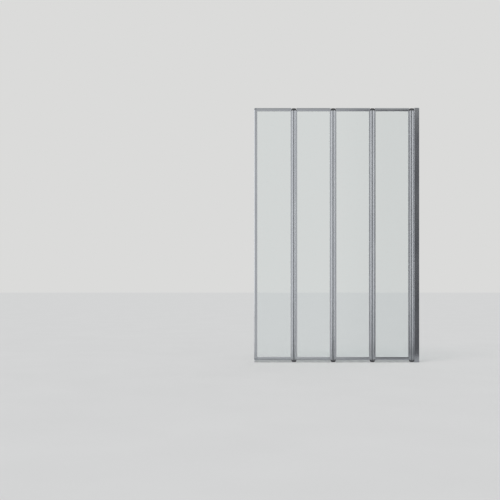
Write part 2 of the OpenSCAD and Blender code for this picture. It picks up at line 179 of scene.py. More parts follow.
def finish(name, tones, patch, patch_rough, grain, grain_rough, relief, **constants):
    """A material of two patterns: patches that drift in colour and roughness, and a grain that scatters
    the shine and stands out of the surface by relief. A pattern is its size and its scale along each axis."""
    material, tree, place = start_material(name)
    patterns, rough = [], []
    for (size, scale), (low, high) in ((patch, patch_rough), (grain, grain_rough)):
        scaled = add(tree, "ShaderNodeMapping", {"Vector": place, "Scale": scale})
        noise = add(tree, "ShaderNodeTexNoise", {
            "Vector": scaled.outputs[0], "Scale": 1 / size, "Detail": NOISE_DETAIL})
        patterns.append(noise.outputs[0])
        rough.append(add(tree, "ShaderNodeMapRange", {
            "Value": noise.outputs[0], "From Min": NOISE_LOW, "From Max": NOISE_HIGH,
            "To Min": low, "To Max": high}).outputs[0])
    tint = add(tree, "ShaderNodeValToRGB", {"Fac": patterns[0]})
    for stop, code, position in zip(tint.color_ramp.elements, tones, TONE_PLACES):
        stop.color, stop.position = colour(code), position
    total = add(tree, "ShaderNodeMath", {0: rough[0], 1: rough[1]}, operation="ADD")
    skin = add(tree, "ShaderNodeBump", {"Height": patterns[1], "Distance": relief, "Strength": 1.0})
    shader = add(tree, "ShaderNodeBsdfPrincipled", {
        "Base Color": tint.outputs[0], "Roughness": total.outputs[0], "Normal": skin.outputs[0],
        **{socket.replace("_", " "): value for socket, value in constants.items()}})
    add(tree, "ShaderNodeOutputMaterial", {"Surface": shader.outputs[0]})
    return material


def along(axes, scale):
    """The scale along X, Y and Z of a pattern that is drawn out along these axes."""
    return [scale if axis in axes else 1 for axis in "XYZ"]


def polished_aluminium(name, axis):
    """Extruded aluminium, bright dipped and polished: a cool grey mirror, softened by the fine lines that
    the die draws along the length (here 0.5 mm apart, so that they show) and by long wiping marks."""
    return finish(name, ("#a5a8ad", "#aeb1b5"), patch=(60 * MM, along(axis, 0.25)), patch_rough=(0.13, 0.19),
                  grain=(0.5 * MM, along(axis, 0.0005)), grain_rough=(0.0, 0.04), relief=0.004 * MM,
                  Metallic=1.0)


def moulded_plastic(name, tones, rough, grain, relief):
    """Injection-moulded plastic: an even colour that drifts a little over the piece, and the fine grain that
    the spark-eroded mould leaves, which scatters its shine."""
    return finish(name, tones, patch=(12 * MM, EVEN), patch_rough=(rough - 0.01, rough + 0.01),
                  grain=(grain, EVEN), grain_rough=(-0.05, 0.05), relief=relief)


def extruded_vinyl(name, tones, rough, axes, **constants):
    """Soft PVC drawn through a die: a waxy satin skin, with long faint ripples along its length and dust that
    dulls it here and there."""
    return finish(name, tones, patch=(30 * MM, EVEN), patch_rough=(rough - 0.05, rough + 0.08),
                  grain=(1.5 * MM, along(axes, 0.02)), grain_rough=(-0.02, 0.02), relief=0.05 * MM,
                  **constants)


def toughened_glass():
    """Clear toughened float glass with its iron's faint green: sharp reflections, and a few dried water marks
    that roughen it just enough to catch the light. Lamps reach through it."""
    mark_size, mark_stretch, mark_detail, mark_rough = 18 * MM, 0.45, 5.0, 0.035
    material, tree, place = start_material("clear_toughened_glass")
    runs = add(tree, "ShaderNodeMapping", {"Vector": place, "Scale": along("Z", mark_stretch)})
    marks = add(tree, "ShaderNodeTexNoise", {
        "Vector": runs.outputs[0], "Scale": 1 / mark_size, "Detail": mark_detail})
    rough = add(tree, "ShaderNodeMapRange", {
        "Value": marks.outputs[0], "From Min": 0.5, "From Max": 0.75, "To Min": 0.0, "To Max": mark_rough})
    shader = add(tree, "ShaderNodeBsdfPrincipled", {
        "Base Color": colour("#f4f8f8"), "Transmission Weight": 1.0, "IOR": 1.5,
        "Roughness": rough.outputs[0]})
    lamps = add(tree, "ShaderNodeLightPath").outputs["Is Shadow Ray"]
    clear = add(tree, "ShaderNodeBsdfTransparent", {"Color": colour("#eff4f4")})
    mix = add(tree, "ShaderNodeMixShader", {0: lamps, 1: shader.outputs[0], 2: clear.outputs[0]})
    add(tree, "ShaderNodeOutputMaterial", {"Surface": mix.outputs[0]})
    return material


UPRIGHT_ALUMINIUM = polished_aluminium("polished_aluminium_uprights", "Z")
RAIL_ALUMINIUM = polished_aluminium("polished_aluminium_rails", "X")
GLASS = toughened_glass()
BLACK_NYLON = moulded_plastic("moulded_black_nylon", ("#232427", "#2e2f33"), rough=0.42, grain=0.5 * MM,
                              relief=0.02 * MM)
DARK_NYLON = moulded_plastic("glass_filled_nylon", ("#2c2d30", "#3a3b3e"), rough=0.55, grain=0.3 * MM,
                             relief=0.02 * MM)
ACETAL = moulded_plastic("moulded_grey_acetal", ("#a9abad", "#b7b9bb"), rough=0.3, grain=0.8 * MM,
                         relief=0.005 * MM)
GREY_ABS = moulded_plastic("moulded_silver_grey_abs", ("#7d8186", "#8b8f94"), rough=0.36, grain=0.6 * MM,
                           relief=0.01 * MM)
GASKET_VINYL = extruded_vinyl("pale_grey_glazing_vinyl", ("#bcc0c2", "#cccfd1"), rough=0.45, axes="XZ",
                              Sheen_Weight=0.1)
JOINT_VINYL = extruded_vinyl("grey_joint_vinyl", ("#6c7074", "#7b7f83"), rough=0.5, axes="Z",
                             Sheen_Weight=0.1)
RIM_VINYL = extruded_vinyl("translucent_rim_vinyl", ("#cfd2d2", "#dcdfdf"), rough=0.34, axes="X",
                           Transmission_Weight=0.35, IOR=1.52)
# Stainless steel screws, turned and tumbled: brighter than the aluminium, with scuffs and fine turning marks
STEEL = finish("turned_stainless_steel", ("#a9abad", "#c6c8ca"), patch=(0.6 * MM, EVEN),
               patch_rough=(0.18, 0.32), grain=(0.3 * MM, EVEN), grain_rough=(0.0, 0.04), relief=0.01 * MM,
               Metallic=1.0)

# ---- Outlines ----

ROUND_STEPS = 5


def rounded(corners):
    """A closed outline through (x, y) corners. A corner (x, y, r) is rounded to that radius."""
    ring = []
    for i, corner in enumerate(corners):
        here = Vector(corner[:2])
        if len(corner) < 3:
            ring.append(here)
            continue
        back = (Vector(corners[i - 1][:2]) - here).normalized()
        ahead = (Vector(corners[(i + 1) % len(corners)][:2]) - here).normalized()
        half = back.angle(ahead) / 2
        centre = here + (back + ahead).normalized() * corner[2] / math.sin(half)
        first = here + back * corner[2] / math.tan(half) - centre
        last = here + ahead * corner[2] / math.tan(half) - centre
        turn = math.atan2(first.x * last.y - first.y * last.x, first.dot(last))
        ring += [centre + Matrix.Rotation(turn * s / ROUND_STEPS, 2) @ first for s in range(ROUND_STEPS + 1)]
    return ring


def arc(centre, radius, start, end, steps):
    """Points on a circle about (x, y), from one angle to another in degrees."""
    return [Vector((centre[0] + radius * math.cos(math.radians(start + (end - start) * s / steps)),
                    centre[1] + radius * math.sin(math.radians(start + (end - start) * s / steps))))
            for s in range(steps + 1)]


def circle(radius, steps=48):
    return arc((0, 0), radius, 0, 360, steps)[:-1]


def mirrored(half, axis):
    """The closed outline whose other half mirrors this one in X (axis 0) or Y (axis 1)."""
    flipped = [Vector((-p.x, p.y)) if axis == 0 else Vector((p.x, -p.y)) for p in reversed(half)]
    return half + [p for p in flipped if abs(p[axis]) > WELD]


EDGE_R = 0.6 * MM
HALF_T = FRAME_T / 2


def tube_side():
    """The round side of a tube, from where it meets the flat part to the middle of its nose."""
    meeting = math.degrees(math.asin(HALF_T / TUBE_R))
    return arc((0, 0), TUBE_R, meeting, 180, steps=30)[:-1] + [Vector((-TUBE_R, 0))]


def rectangle(x0, x1, half_y):
    return [Vector((x0, -half_y)), Vector((x1, -half_y)), Vector((x1, half_y)), Vector((x0, half_y))]


def stile_outlines():
    """The hinged stile: a round tube with its bore, and a flat part with the slot for the glass."""
    upper = [Vector((SLOT_FLOOR, SLOT_W / 2)), Vector((STILE_REACH, SLOT_W / 2))]
    upper += arc((STILE_REACH - EDGE_R, HALF_T - EDGE_R), EDGE_R, 0, 90, steps=5) + tube_side()
    return [mirrored(upper, 1), circle(TUBE_BORE_R)]


def free_outlines():
    """The stile on the free edge: rounded towards the open, hollow, with the slot for the glass."""
    outer_x, nosing = STILE_REACH - FREE_STILE_W, 4 * MM
    upper = [Vector((SLOT_FLOOR, SLOT_W / 2)), Vector((STILE_REACH, SLOT_W / 2))]
    upper += arc((STILE_REACH - EDGE_R, HALF_T - EDGE_R), EDGE_R, 0, 90, steps=5)
    upper += arc((outer_x + nosing, HALF_T - nosing), nosing, 90, 180, steps=12)
    return [mirrored(upper, 1), rectangle(outer_x + ALU_T, SLOT_FLOOR - ALU_T, HALF_T - ALU_T)]


def crowned_side():
    """A rail's face from its outer edge to its glass edge, as (y, v): round edges, a shallow arc between."""
    edge_y, crown_half = HALF_T - RAIL_CROWN, RAIL_H / 2 - EDGE_R
    radius = (crown_half ** 2 + RAIL_CROWN ** 2) / (2 * RAIL_CROWN)
    sweep = math.degrees(math.asin(crown_half / radius))
    side = arc((edge_y - EDGE_R, EDGE_R), EDGE_R, -90, 0, steps=4)[:-1]
    side += arc((HALF_T - radius, RAIL_H / 2), radius, -sweep, sweep, steps=14)
    return side + arc((edge_y - EDGE_R, RAIL_H - EDGE_R), EDGE_R, 0, 90, steps=4)[1:]


def rail_outlines(grooved):
    """The rail: a chamber for the corner keys, a slot for the glass and, at the bottom, the seal's groove."""
    half_slot, chamber_top = SLOT_W / 2, ALU_T + CHAMBER_H
    half = crowned_side() + [Vector((half_slot, RAIL_H)), Vector((half_slot, RAIL_FLOOR))]
    chamber = [Vector((half_slot, chamber_top)), Vector((half_slot, ALU_T))]
    if grooved:
        groove = [Vector((SEAL_GROOVE / 2, ALU_T)), Vector((SEAL_GROOVE / 2, 0))]
        return [mirrored(chamber + groove + half, 0)]
    return [mirrored(half, 0), mirrored(chamber, 0)]


def post_outlines():
    """The post: the first hinge's tube, run into the hollow body that slides in the wall profile."""
    upper = arc((POST_BODY[1] - EDGE_R, POST_T / 2 - EDGE_R), EDGE_R, 0, 90, steps=5)
    upper += arc((POST_BODY[0] + EDGE_R, POST_T / 2 - EDGE_R), EDGE_R, 90, 180, steps=5)
    upper += [Vector((POST_BODY[0], HALF_T))] + tube_side()
    hollow = rectangle(POST_HOLLOW_X, POST_BODY[1] - ALU_T, POST_T / 2 - ALU_T)
    return [mirrored(upper, 1), circle(TUBE_BORE_R), hollow]


def channel_outlines():
    """The wall profile: a channel that opens towards the panels, with rounded lips."""
    half, inner, lip = CHANNEL_W / 2, CHANNEL_W / 2 - CHANNEL_T, CHANNEL_T * 0.45
    return [rounded([(0, -half, EDGE_R), (0, half, EDGE_R), (-CHANNEL_D, half, lip), (-CHANNEL_D, inner, lip),
                     (-CHANNEL_T, inner, EDGE_R), (-CHANNEL_T, -inner, EDGE_R), (-CHANNEL_D, -inner, lip),
                     (-CHANNEL_D, -half, lip)])]


def joint_seal_outlines():
    """The strip between two tubes: a narrow waist between soft lips that lie against both tubes."""
    reach, half_w, half_d, tip_r = TUBE_R + RUN_GAP, 1.9 * MM, 5.6 * MM, 1.2 * MM
    axis = HINGE_SPACING / 2
    turn = math.degrees(math.acos((axis - half_w) / reach))
    right = arc((half_w - tip_r, half_d - tip_r), tip_r, 90, 0, steps=5)
    right += arc((axis, 0), reach, 180 - turn, 180 + turn, steps=16)
    right += arc((half_w - tip_r, tip_r - half_d), tip_r, 0, -90, steps=5)
    return [mirrored(right, 0)]


def seal_band_outlines():
    """Under the rail, the rim seal's band: two side fins that lean inwards, and a drip fin between them."""
    half, t, foot = 4.5 * MM, 1 * MM, 0.5 * MM
    soft, tip, root, drip_tip = 0.3 * MM, 0.35 * MM, 0.6 * MM, 0.95 * foot
    under, side, drip = RIM_GAP - t, RIM_GAP - 0.6 * t, RIM_GAP / 3 - foot
    fin_out, fin_in = half - 0.5 * t, half - 1.5 * t
    return [rounded([
        (-half, RIM_GAP, soft), (half, RIM_GAP, soft), (half, side, soft),
        (fin_out, 0, tip), (fin_in, 0, tip), (half - t, under, root),
        (foot, under, root), (foot, drip, drip_tip), (-foot, drip, drip_tip), (-foot, under, root),
        (t - half, under, root), (-fin_in, 0, tip), (-fin_out, 0, tip), (-half, side, soft)])]


def seal_head_outlines():
    """The rim seal's head, snapped into the groove under the bottom rail."""
    head, neck, soft = 3.2 * MM, SEAL_GROOVE / 2, 0.5 * MM
    low, shoulder, top = RIM_GAP - 0.5 * MM, RIM_GAP + ALU_T, RIM_GAP + ALU_T + 2 * MM
    return [rounded([(-neck, low), (neck, low), (neck, shoulder), (head, shoulder, soft), (head, top, soft),
                     (-head, top, soft), (-head, shoulder, soft), (-neck, shoulder)])]


# ---- Geometry Nodes: a drawn section, and screws on their places ----


def start_tree(name, inputs):
    """An empty tree that takes a geometry and the named inputs, and gives a geometry."""
    tree = bpy.data.node_groups.new(name, "GeometryNodeTree")
    tree.interface.new_socket("Geometry", in_out="INPUT", socket_type="NodeSocketGeometry")
    for label, kind in inputs.items():
        tree.interface.new_socket(label, in_out="INPUT", socket_type=kind)
    tree.interface.new_socket("Geometry", in_out="OUTPUT", socket_type="NodeSocketGeometry")
    return tree, add(tree, "NodeGroupInput").outputs


def end_tree(tree, geometry, material):
    real = add(tree, "GeometryNodeRealizeInstances", {0: geometry})
    painted = add(tree, "GeometryNodeSetMaterial", {"Geometry": real.outputs[0], "Material": material})
    add(tree, "NodeGroupOutput", {0: painted.outputs[0]})
    return tree


def drawn_section_tree():
    """Fills the outlines of a section, draws it out along Z, and closes both ends."""
    tree, given = start_tree("drawn_section", {"Length": "NodeSocketFloat", "Material": "NodeSocketMaterial"})
    loops = add(tree, "GeometryNodeMeshToCurve", {0: given["Geometry"]})
    face = add(tree, "GeometryNodeFillCurve", {0: loops.outputs[0]}).outputs[0]
    travel = add(tree, "ShaderNodeCombineXYZ", {"Z": given["Length"]})
    body = add(tree, "GeometryNodeExtrudeMesh",
               {"Mesh": face, "Offset": travel.outputs[0], "Offset Scale": 1.0, "Individual": False})
    foot = add(tree, "GeometryNodeFlipFaces", {0: face})
    whole = add(tree, "GeometryNodeJoinGeometry")
    for part in (body.outputs[0], foot.outputs[0]):
        tree.links.new(part, whole.inputs[0])
    welded = add(tree, "GeometryNodeMergeByDistance", {"Geometry": whole.outputs[0], "Distance": WELD})
    return end_tree(tree, welded.outputs[0], given["Material"])


def screws_tree():
    """Puts a screw on every point, its axis turned to face the way that the point says."""
    tree, given = start_tree("screws_on_their_places",
                             {"Screw": "NodeSocketObject", "Material": "NodeSocketMaterial"})
    facing = add(tree, "GeometryNodeInputNamedAttribute", {"Name": "facing"}, data_type="FLOAT_VECTOR")
    turn = add(tree, "FunctionNodeAlignRotationToVector", {"Vector": facing.outputs[0]}, axis="Z")
    screw = add(tree, "GeometryNodeObjectInfo", {"Object": given["Screw"]})
    placed = add(tree, "GeometryNodeInstanceOnPoints", {
        "Points": given["Geometry"], "Instance": screw.outputs["Geometry"], "Rotation": turn.outputs[0]})
    return end_tree(tree, placed.outputs[0], given["Material"])


SECTION_TREE = drawn_section_tree()
SCREWS_TREE = screws_tree()


def as_object(mesh):
    item = bpy.data.objects.new(mesh.name, mesh)
    bpy.context.scene.collection.objects.link(item)
    return item


def settled(item):
    """The plain mesh that the item's modifiers give. The item itself goes."""
    bpy.context.view_layer.update()
    mesh = bpy.data.meshes.new_from_object(item.evaluated_get(bpy.context.evaluated_depsgraph_get()))
    bpy.data.objects.remove(item)
    return mesh


def grown(mesh, tree, values):
    """The mesh that a Geometry Nodes tree makes of this one. values names the tree's inputs."""
    item = as_object(mesh)
    modifier = item.modifiers.new(tree.name, "NODES")
    modifier.node_group = tree
    for socket in tree.interface.items_tree:
        if socket.in_out == "INPUT" and socket.name in values:
            modifier[socket.identifier] = values[socket.name]
    return settled(item)


# ---- Mesh tools ----


def mesh_of(name, build):
    """A mesh that build(bm) fills."""
    bm = bmesh.new()
    build(bm)
    mesh = bpy.data.meshes.new(name)
    bm.to_mesh(mesh)
    bm.free()
    return mesh


def reworked(mesh, work):
    bm = bmesh.new()
    bm.from_mesh(mesh)
    work(bm)
    bm.to_mesh(mesh)
    bm.free()
    return mesh


def joined(name, meshes):
    """One mesh of several, which keeps the first one's material."""
    mesh = mesh_of(name, lambda bm: [bm.from_mesh(m) for m in meshes])
    if meshes[0].materials:
        mesh.materials.append(meshes[0].materials[0])
    return mesh


def drawn(outlines, length, material, place):
    """A section drawn out to a length along Z and put in its place."""
    def lay(bm):
        for ring in outlines:
            corners = [bm.verts.new((p.x, p.y, 0)) for p in ring]
            for i, corner in enumerate(corners):
                bm.edges.new((corners[i - 1], corner))
    mesh = grown(mesh_of("outline", lay), SECTION_TREE, {"Length": length, "Material": material})
    mesh.transform(place)
    return reworked(mesh, lambda bm: bmesh.ops.recalc_face_normals(bm, faces=bm.faces))


def upright(x, z=0.0, side=1):
    """The place of a section that stands on height z with its axis at x. Its own X points to side."""
    return Matrix.Translation((x, 0, z)) @ Matrix.Diagonal((side, 1, 1, 1))


def lying(x, z=0.0, up=1):
    """The place of a section (y, v) that is drawn out along +X from x, its v up or down from height z."""
    return Matrix(((0, 0, 1, x), (1, 0, 0, 0), (0, up, 0, z), (0, 0, 0, 1)))


def slab(lo, hi):
    def build(bm):
        bmesh.ops.create_cube(bm, size=1)
        size, middle = Vector(hi) - Vector(lo), (Vector(hi) + Vector(lo)) / 2
        place = Matrix.Translation(middle) @ Matrix.Diagonal((*size, 1))
        bmesh.ops.transform(bm, matrix=place, verts=bm.verts)
    return mesh_of("slab", build)


def turned(profile, place, steps=32):
    """A closed round solid: the profile (radius, height) runs from the axis, up the outside, to the axis."""
    def build(bm):
        rings = []
        for radius, height in profile:
            if radius < WELD:
                rings.append([bm.verts.new((0, 0, height))] * steps)
                continue
            rings.append([bm.verts.new((p.x, p.y, height)) for p in circle(radius, steps)])
        for low, high in zip(rings, rings[1:] + rings[:1]):
            for i in range(steps):
                corners = list(dict.fromkeys((low[i - 1], low[i], high[i], high[i - 1])))
                if len(corners) > 2:
                    bm.faces.new(corners)
        bmesh.ops.recalc_face_normals(bm, faces=bm.faces)
    mesh = mesh_of("turned", build)
    mesh.transform(place)
    if place.determinant() < 0:
        mesh.flip_normals()
    return mesh


def pin(radius, low, high, place, steps=32):
    """A plain round cutter from one height to another."""
    return turned([(0, low), (radius, low), (radius, high), (0, high)], place, steps)


def carved(mesh, cutters):
    """The mesh less its cutters, cut by an exact boolean."""
    item, tool = as_object(mesh), as_object(joined("cutters", cutters))
    cut = item.modifiers.new("cut", "BOOLEAN")
    cut.operation, cut.solver, cut.object = "DIFFERENCE", "EXACT", tool
    result = settled(item)
    bpy.data.objects.remove(tool)
    return reworked(result, lambda bm: bmesh.ops.remove_doubles(bm, verts=bm.verts, dist=WELD))


def softened(mesh, width, steps=2, flats=True):
    """The mesh with its sharp edges rounded. flats: the triangles of its flat faces are merged first."""
    if flats:
        reworked(mesh, lambda bm: bmesh.ops.dissolve_limit(
            bm, angle_limit=FLAT_ANGLE, verts=bm.verts, edges=bm.edges, use_dissolve_boundaries=False))
    item = as_object(mesh)
    edge = item.modifiers.new("edges", "BEVEL")
    edge.width, edge.segments, edge.use_clamp_overlap = width, steps, True
    edge.limit_method, edge.angle_limit = "ANGLE", EDGE_ANGLE
    return settled(item)


def copied(node):
    """A copy of a CAD node's mesh, its triangles joined."""
    mesh = bpy.data.meshes[frame["nodes"][node].data.name].copy()
    mesh.materials.clear()
    return reworked(mesh, lambda bm: bmesh.ops.remove_doubles(bm, verts=bm.verts, dist=WELD))


NODE_BODY = {node: body for body, nodes in frame["record"]["behaviour"]["bodies"].items() for node in nodes}


def finished(node, mesh, material):
    """Dresses a CAD node: this mesh, in this material, stands for it and rides on its body."""
    mesh.materials.clear()
    mesh.materials.append(material)
    for face in mesh.polygons:
        face.material_index = 0
    mesh.shade_smooth()
    mesh.set_sharp_from_angle(angle=SHARP_ANGLE)
    item = as_object(mesh)
    item.modifiers.new("flat_faces_stay_flat", "WEIGHTED_NORMAL").keep_sharp = True
    piece = as_object(settled(item))
    piece.name = piece.data.name = f"finished_{node}"
    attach(piece, NODE_BODY[node])
    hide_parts(node)
    return piece


# ---- Screws and their holes ----

BACK = Matrix.Rotation(math.radians(-90), 4, "X")  # turns +Z to +Y, where the screws are put in from


def cross_cut(body, reach, width, depth, top):
    """Cuts the cross recess of a screw head whose top is at this height: two slots that taper downwards."""
    foot_length, foot_width = 0.45, 0.7

    def blade(bm, turn):
        made = bmesh.ops.create_cube(bm, size=1)["verts"]
        for v in made:
            length, breadth, height = 2 * reach, width, top + depth
            if v.co.z < 0:
                length, breadth, height = length * foot_length, width * foot_width, top - depth
            v.co = Vector((v.co.x * length, v.co.y * breadth, height))
        bmesh.ops.rotate(bm, verts=made, matrix=Matrix.Rotation(math.radians(turn), 3, "Z"))

    for turn in (0, 90):
        body = carved(body, [mesh_of("blade", lambda bm: blade(bm, turn))])
    return body


def corner_screw():
    """A small countersunk screw: its face is slightly domed and has a cross recess, its tip is chamfered."""
    r, head, tip, chamfer = CORNER_SCREW_R, CORNER_HEAD_R, CORNER_SCREW_L, 0.5 * MM
    body = turned([(0, -tip), (r - chamfer, -tip), (r, chamfer - tip), (r, -CORNER_HEAD_H),
                   (head - 0.02 * MM, -0.03 * MM), (head - 0.1 * MM, -0.01 * MM), (0, 0)], Matrix())
    return cross_cut(body, reach=0.62 * head, width=0.36 * MM, depth=0.65 * MM, top=0)


def fixing_screw():
    """The pan-head screw that locks the post in the wall profile, under its snap cap."""
    r, head, tip = FIXING_SCREW_R, FIXING_HEAD_R, FIXING_SCREW_L
    body = turned([(0, -tip), (0.4 * r, 0.4 * MM - tip), (r, 2 * MM - tip), (r, 0), (head, 0),
                   (head, 0.9 * MM), (0.93 * head, 1.5 * MM), (0.75 * head, 2 * MM), (0, FIXING_HEAD_H)],
                  Matrix())
    return cross_cut(body, reach=0.5 * head, width=0.7 * MM, depth=1.1 * MM, top=FIXING_HEAD_H)


def pivot_screw():
    """A hinge's pivot: a smooth shank and a flat head with a hexagon socket, its edges broken."""
    r, length, head, height = PIVOT_SCREW_R, PIVOT_SCREW_L, PIVOT_HEAD_R, PIVOT_HEAD_H
    break_r, chamfer, socket_r, socket_floor = 0.25 * MM, 0.6 * MM, 1.6 * MM, 0.64 * MM
    body = turned([(0, -height), (head - break_r, -height), (head, break_r - height), (head, 0), (r, 0),
                   (r, length - chamfer), (r - chamfer, length), (0, length)], Matrix())
    return carved(body, [pin(socket_r, -2 * height, -socket_floor, Matrix(), steps=6)])


def on_places(screw, places, material):
    """Screws on their places, each a point and the direction that its head or shank faces."""
    spots = bpy.data.meshes.new("places")
    spots.from_pydata([p for p, _ in places], [], [])
    facing = spots.attributes.new("facing", "FLOAT_VECTOR", "POINT")
    facing.data.foreach_set("vector", [c for _, direction in places for c in direction])
    return grown(spots, SCREWS_TREE, {"Screw": screw, "Material": material})


def screw_hole(point):
    """What a corner screw needs, cut from behind: a countersink, and the hole for its shank."""
    profile = [(0, -CORNER_SCREW_L), (CORNER_SCREW_R, -CORNER_SCREW_L), (CORNER_SCREW_R, -CORNER_HEAD_H),
               (CORNER_HEAD_R, 0), (CORNER_HEAD_R, OVER), (0, OVER)]
    return turned(profile, Matrix.Translation(point) @ BACK, steps=24)


def stile_axes(k):
    """A panel's two stiles: the place of each one's axis, and which way its glass side faces."""
    return [(wall_pivot(k), -1), (free_pivot(k), 1)]


def corner_seats(x, side):
    """The seats of a stile's four corner screws: two in the stile itself, two in the rails beyond it."""
    return [Vector((x + side * reach, y, z))
            for reach, y in ((KEY_SCREW_X, HALF_T), (RAIL_SCREW_X, RAIL_SEAT_Y))
            for z in (RIM_GAP + KEY_V, SCREEN_TOP - KEY_V)]


def nose_cutters(x, side):
    """The space that the end links turn through, at both ends of a stile or of the post."""
    past_nose, past_face = 3 * TUBE_R, CHANNEL_W
    near, far = sorted((x - side * past_nose, x + side * SLOT_FLOOR))
    return [slab((near, -past_face, -OVER), (far, past_face, NOSE_END)),
            slab((near, -past_face, SCREEN_TOP - NOSE_END), (far, past_face, SCREEN_TOP + OVER))]


# ---- Wall profile and post ----


def make_wall_mount():
    through_channel, through_post = 4 * MM, 3 * MM
    to_wall = Matrix.Rotation(math.radians(90), 4, "Y")
    fixing_heights = spread(FIXING_INSET, FIXING_SCREWS)

    channel = drawn(channel_outlines(), POST_TOP, UPRIGHT_ALUMINIUM, upright(0))
    holes = [pin(WALL_HOLE_R, -through_channel, OVER, Matrix.Translation((0, 0, z)) @ to_wall)
             for z in spread(WALL_HOLE_INSET, WALL_HOLES)]
    holes += [pin(FIXING_HOLE_R, -through_channel, OVER,
                  Matrix.Translation((-FIXING_X, CHANNEL_W / 2, z)) @ BACK) for z in fixing_heights]
    finished("wall_profile", softened(carved(channel, holes), CHANNEL_EDGE, steps=1), UPRIGHT_ALUMINIUM)

    post = drawn(post_outlines(), POST_TOP - LINK_INSET, UPRIGHT_ALUMINIUM, upright(POST_PIVOT, LINK_INSET))
    pilots = [pin(FIXING_SCREW_R, -through_post, OVER,
                  Matrix.Translation((-FIXING_X, POST_T / 2, z)) @ BACK) for z in fixing_heights]
    post = carved(carved(post, nose_cutters(POST_PIVOT, 1)), pilots)
    finished("hinge_post", softened(post, CHANNEL_EDGE, steps=1), UPRIGHT_ALUMINIUM)

    finished("wall_profile_cap", softened(copied("wall_profile_cap"), CAP_EDGE), GREY_ABS)
    finished("screw_caps", softened(copied("screw_caps"), SNAP_CAP_EDGE, steps=1), GREY_ABS)
    seats = [((-FIXING_X, CHANNEL_W / 2, z), (0, 1, 0)) for z in fixing_heights]
    finished("fixing_screws", on_places(FIXING_SCREW, seats, STEEL), STEEL)


# ---- Hinges ----


def pivot_places(axes):
    """The pivot screws' seats at both ends of each axis. The lower ones point up, the upper ones down."""
    seat = LINK_INSET + PIVOT_SEAT
    ends = (seat, (0, 0, 1)), (SCREEN_TOP - seat, (0, 0, -1))
    return [((x, 0, z), facing) for x in axes for z, facing in ends]


def make_hinges():
    for k in PANELS:
        finished(f"hinge_links_{k}", softened(copied(f"hinge_links_{k}"), LINK_EDGE, steps=3), BLACK_NYLON)
        lo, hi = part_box(f"joint_seal_{k}")
        strip = drawn(joint_seal_outlines(), hi.z - lo.z, JOINT_VINYL, upright(hinge_x(k), lo.z))
        finished(f"joint_seal_{k}", strip, JOINT_VINYL)
    pivots = [("post_bushes", "post_pivot_screws", [POST_PIVOT])]
    for k in PANELS:
        axes = [wall_pivot(k)] if k == LAST else [wall_pivot(k), free_pivot(k)]
        pivots.append((f"pivot_bushes_{k}", f"pivot_screws_{k}", axes))
    for bushes, screws, axes in pivots:
        finished(bushes, softened(copied(bushes), BUSH_EDGE), ACETAL)
        finished(screws, on_places(PIVOT_SCREW, pivot_places(axes), STEEL), STEEL)


# ---- Panels ----


def make_stiles(k):
    height = SCREEN_TOP - RIM_GAP
    for node, (x, side) in zip((f"wall_stile_{k}", f"free_stile_{k}"), stile_axes(k)):
        plain = node == f"free_stile_{LAST}"
        outlines = free_outlines() if plain else stile_outlines()
        stile = drawn(outlines, height, UPRIGHT_ALUMINIUM, upright(x, RIM_GAP, side))
        if plain:
            edge = x + STILE_REACH - FREE_STILE_W
            ends = [slab((edge - OVER, -CHANNEL_W, z), (x + SLOT_FLOOR, CHANNEL_W, z + END_CAP_H + OVER))
                    for z in (RIM_GAP - OVER, SCREEN_TOP - END_CAP_H)]
        else:
            ends = nose_cutters(x, side)
        stile = carved(carved(stile, ends), [screw_hole(p) for p in corner_seats(x, side)[:2]])
        finished(node, softened(stile, FRAME_EDGE, steps=1), UPRIGHT_ALUMINIUM)


def make_rails(k):
    x0, x1 = free_pivot(k) + STILE_REACH, wall_pivot(k) - STILE_REACH
    seats = [p for x, side in stile_axes(k) for p in corner_seats(x, side)[2:]]
    for node, place, lower in ((f"bottom_rail_{k}", lying(x0, RIM_GAP), True),
                               (f"top_rail_{k}", lying(x0, SCREEN_TOP, up=-1), False)):
        rail = drawn(rail_outlines(grooved=lower), x1 - x0, RAIL_ALUMINIUM, place)
        rail = carved(rail, [screw_hole(p) for p in seats if (p.z < SCREEN_TOP / 2) == lower])
        finished(node, softened(rail, FRAME_EDGE, steps=1), RAIL_ALUMINIUM)


# The rounded back of a gasket's lip, as (depth from its tip, drop from the slot's side) in millimetres, and
# the gap from the drawn gasket to the pane, through which light reaches the lips behind the glass
LIP_CURVE = ((1.2, 0), (0.9, 0.06), (0.45, 0.25), (0.15, 0.6), (0, 1.05))
LIP_TOE = 0.05 * MM
GLAZING_GAP = 0.08 * MM


